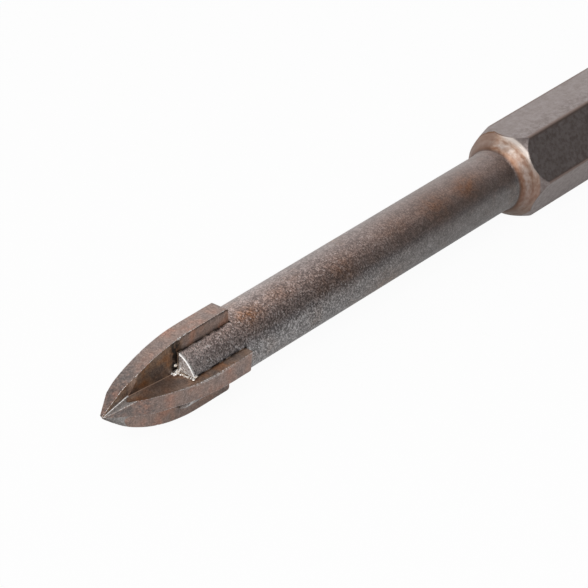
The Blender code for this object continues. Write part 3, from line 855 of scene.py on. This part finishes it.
carbide_cross.data.materials.append(finish_ground_carbide())
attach(carbide_cross, "root")
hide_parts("carbide_cross")

# Silver solder fills the gap between the carbide and the slot. It shows as an uneven seam, sunk and
# pitted where it has drawn back, and as small bright beads where it has run out at the prongs' ends.
SEAM_MIDDLE = 0.72 * MM
SEAM_THICKNESS = 0.1 * MM
SEAM_HEIGHT = 0.45 * MM
SEAM_PROUD = 0.015 * MM
# Each bead has its depth, its radius off the axis, its angle from the fin, half its length and half its
# width, in millimetres and radians. Those past the edge of the prong's face are missing on the smeared
# prong.
BEADS = [(6.36, 1.16, -0.82, 0.34, 0.2), (6.5, 1.02, -0.86, 0.2, 0.22), (6.46, 1.46, -0.5, 0.14, 0.12),
         (6.2, 1.03, -0.72, 0.16, 0.1), (6.52, 2.34, -1.25, 0.14, 0.11), (6.8, 2.36, -1.22, 0.12, 0.09),
         (6.54, 1.6, -1.14, 0.12, 0.09), (6.54, 1.9, -1.18, 0.11, 0.08), (6.56, 1.28, -1.05, 0.14, 0.12),
         (6.56, 1.45, -1.1, 0.1, 0.08), (6.56, 1.75, -1.17, 0.09, 0.06), (6.56, 2.1, -1.22, 0.12, 0.07)]


def seam_shell(fin):
    """The lining round one prong, as a strip on edge. Its path runs forward in one gap, inwards and
    outwards over the prong's front corner, and back in the other gap. Its top is sunk unevenly."""
    out = math.sqrt(SHAFT_RADIUS**2 - SEAM_MIDDLE**2)
    knots = [(SLOT_FLOOR, out, SEAM_MIDDLE), (PRONG_FRONT, out, SEAM_MIDDLE),
             (PRONG_FRONT, SEAM_MIDDLE, SEAM_MIDDLE), (PRONG_FRONT, SEAM_MIDDLE, out),
             (SLOT_FLOOR, SEAM_MIDDLE, out)]
    inward = [(0, -1, 0), (1, -1, 0), (1, 0, 0), (1, 0, -1), (0, 0, -1)]
    side = [(0, 0, 1), (0, 0, 1), (0, 1, 1), (0, 1, 0), (0, 1, 0)]
    steps = [np.linspace(k, k + 1, count)[1:] for k, count in enumerate((110, 36, 36, 110))]
    station = np.concatenate([[0.0], *steps])
    path, into, across = (
        np.stack([np.interp(station, range(5), [row[k] for row in table]) for k in range(3)], axis=1)
        for table in (knots, inward, side)
    )
    run = np.concatenate([[0], np.cumsum(np.linalg.norm(np.diff(path, axis=0), axis=1))])
    behind_end = np.minimum(run, run[-1] - run)
    behind_end = SLOT_FLOOR - PRONG_FRONT - behind_end
    sunk = SEAM_PROUD * (1.5 * ripple(run, 3 * fin + 2) - 0.5) + pitting(behind_end, fin)
    lift = np.array([1.0, 0.12, 0.0, 0.0, 0.12, 1.0])
    sideways = np.array([-0.5, -0.5, -0.25, 0.25, 0.5, 0.5])
    down = sunk[:, None] + (SEAM_HEIGHT - sunk[:, None]) * lift
    points = path[:, None] + into[:, None] * down[..., None]
    points = points + across[:, None] * (sideways * SEAM_THICKNESS)[:, None]
    x, y = points[..., 1], points[..., 2]
    rings = at(points[..., 0], np.hypot(x, y), FIN_ANGLES[fin] - np.arctan2(y, x))
    stained = np.clip(sunk / STAINED_DEPTH, 0, 1)[:, None]
    return {"rings": rings, "marks": {"stained": stained}}


def bead_shell(fin_angle, bead, seed):
    """A drop of solder: a ball stretched along the bit, with lumps that are sines round it and along it."""
    depth, radius, angle, half_length, half_width = bead
    along = np.linspace(-1.45, 1.45, 14)[:, None]
    round_it = np.linspace(0, 2 * np.pi, 26, endpoint=False)
    lump = 1 + 0.16 * np.sin(3 * round_it + seed) * np.cos(2 * along + seed)
    lump = lump + 0.1 * np.sin(5 * round_it - 2 * seed) * np.sin(3 * along + seed)
    middle = radius * MM * np.array([math.sin(fin_angle + angle), math.cos(fin_angle + angle)])
    x = POINT_X + depth * MM + half_length * MM * np.sin(along) * lump
    y = middle[0] + half_width * MM * np.cos(along) * np.sin(round_it) * lump
    z = middle[1] + half_width * MM * np.cos(along) * np.cos(round_it) * lump
    return {"rings": np.stack([x, y, z], axis=-1), "marks": {"bright": 1.0}}


seams = [seam_shell(fin) for fin in range(4)]
beads = [
    bead_shell(angle, bead, 7 * i + k)
    for i, angle in enumerate(FIN_ANGLES)
    for k, bead in enumerate(BEADS)
    if i != SMEARED_PRONG or bead[2] > -1
]
braze_seam = skin("braze_seam", seams + beads)


SOLDER_LUMP = 0.12 * MM


def finish_silver_solder():
    """Silver solder: the seam was blasted with the steel and is as brown as it, the beads are bright and
    slightly yellow, and the pits hold black flux."""
    material, add, shader = new_material("silver solder, flux stained", "#D8CDBD", 1.0, 0.4)
    mark = {name: add("Attribute", attribute_name=name).outputs["Fac"] for name in ("stained", "bright")}
    place = add("TexCoord").outputs["Object"]
    lump = add("TexNoise", {"Vector": place, "Scale": 1 / SOLDER_LUMP, "Detail": 3.0})
    seam = add("ValToRGB", {0: lump}, [(0.35, "#7D6A5C"), (0.5, "#A08B7A"), (0.62, "#C9B7A4")])
    drop = add("ValToRGB", {0: lump}, [(0.35, "#C9BBA8"), (0.5, "#F4EEE6"), (0.6, "#FFFFFF")])
    clean = add("Mix", {0: mark["bright"], "A": seam, "B": drop}, **PAINT)
    colour = add("Mix", {0: mark["stained"], "A": clean, "B": "#1E1713"}, **PAINT)
    metal = add("MapRange", {0: mark["stained"], "To Min": 1.0, "To Max": 0.2})
    bump = add("Bump", {"Height": lump, "Strength": 0.6, "Distance": 0.03 * MM})
    feed(shader, {"Base Color": colour, "Metallic": metal, "Normal": bump})
    return material


braze_seam.data.materials.append(finish_silver_solder())
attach(braze_seam, "root")
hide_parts("braze_filler")

# The bit lies on a plain white table in a studio that is bright on one side, beyond the bit, with a softbox
# beside the camera. The table keeps a faint shadow.
TABLE_SIZE = 3.0
TABLE_WHITE = "#E6E6E6"
GLOW_SEEN = 0.95
GLOW_MIRRORED = 0.5
MIRRORED_STRENGTH = 0.7
BRIGHT_SIDE = (0.517, 0.776, 0.362)


def lay_table():
    """A flat sheet at the height of the shank's lowest flat."""
    half = TABLE_SIZE / 2
    mesh = bpy.data.meshes.new("table")
    level = steel_low.z - 0.01 * MM
    corners = [(-half, -half, level), (half, -half, level), (half, half, level), (-half, half, level)]
    mesh.from_pydata(corners, [], [(0, 1, 2, 3)])
    table = bpy.data.objects.new("table", mesh)
    bpy.context.scene.collection.objects.link(table)
    material, add, shader = new_material("white studio table", TABLE_WHITE, 0.0, 0.9)
    rays, kinds = add("LightPath").outputs, ("Camera", "Glossy", "Transmission")
    camera, glossy, passing = (rays[f"Is {kind} Ray"] for kind in kinds)
    mirrored = add("Math", {0: glossy, 1: passing}, operation="MAXIMUM")
    mirrored = add("Math", {0: mirrored, 1: GLOW_MIRRORED}, **TIMES)
    seen = add("Math", {0: camera, 1: GLOW_SEEN}, **TIMES)
    share = add("Math", {0: seen, 1: mirrored}, operation="MAXIMUM")
    strength = add("MapRange", {0: camera, "To Min": MIRRORED_STRENGTH, "To Max": 1.0})
    glow = add("Emission", {"Color": "#FFFFFF", "Strength": strength})
    both = add("MixShader", {0: share, 1: shader, 2: glow})
    feed(material.node_tree.nodes["Material Output"], {"Surface": both})
    mesh.materials.append(material)
    return table


lay_table()


def light_room():
    """The room's brightness by the cosine of the angle to its bright side. The camera sees plain white."""
    world = bpy.data.worlds.new("white studio")
    bpy.context.scene.world = world
    world.use_nodes = True
    add = partial(add_node, world.node_tree)
    direction = add("TexCoord").outputs["Generated"]
    towards = add("VectorMath", {0: direction, 1: BRIGHT_SIDE}, operation="DOT_PRODUCT")
    turn = add("MapRange", {"Value": towards, "From Min": -1.0, "From Max": 1.0})
    room = add(
        "ValToRGB", {0: turn},
        [(0.0, "#5C5C5C"), (0.5, "#606060"), (0.6, "#8C8C8C"), (0.71, "#C2C2C2"), (0.9, "#F4F4F4"),
         (1.0, "#FFFFFF")],
    )
    camera_ray = add("LightPath").outputs["Is Camera Ray"]
    colour = add("Mix", {0: camera_ray, "A": room, "B": "#FFFFFF"}, **PAINT)
    feed(world.node_tree.nodes["Background"], {"Color": colour})


light_room()


def hang_softbox(name, place, target, size, power):
    """A square area light that looks at a target."""
    lamp = bpy.data.lights.new(name, "AREA")
    lamp.size = size
    lamp.energy = power
    holder = bpy.data.objects.new(name, lamp)
    holder.visible_camera = False
    holder.location = place
    aim = np.array(target) - np.array(place)
    tilt, swing = math.atan2(math.hypot(aim[0], aim[1]), -aim[2]), math.atan2(aim[1], aim[0])
    holder.rotation_euler = (tilt, 0, swing - math.pi / 2)
    bpy.context.scene.collection.objects.link(holder)


hang_softbox("key_softbox", (-0.44, -0.25, 0.40), (-0.06, 0, 0), 0.4, 2.8)

# The camera stands before the point and above it, to the left, as a long lens does for a small part.
LENS = 219.5
SENSOR = 36.0
CAMERA_PLACE = (-0.2156, -0.1440, 0.1154)
CAMERA_RIGHT = (0.64083, -0.76597, -0.05124)
CAMERA_UP = (0.38765, 0.26526, 0.88281)
CAMERA_BACK = (-0.66262, -0.58560, 0.46692)


def stand_camera():
    """The camera's pose as a matrix: its right, up and back directions as columns, and its place."""
    lens = bpy.data.cameras.new("camera")
    lens.lens = LENS
    lens.sensor_width = SENSOR
    lens.clip_start = 0.01
    camera = bpy.data.objects.new("camera", lens)
    pose = np.eye(4)
    pose[:3, :3] = np.array([CAMERA_RIGHT, CAMERA_UP, CAMERA_BACK]).T
    pose[:3, 3] = CAMERA_PLACE
    camera.matrix_world = pose.T.tolist()
    bpy.context.scene.collection.objects.link(camera)
    bpy.context.scene.camera = camera


stand_camera()
bpy.context.scene.view_settings.view_transform = "Standard"
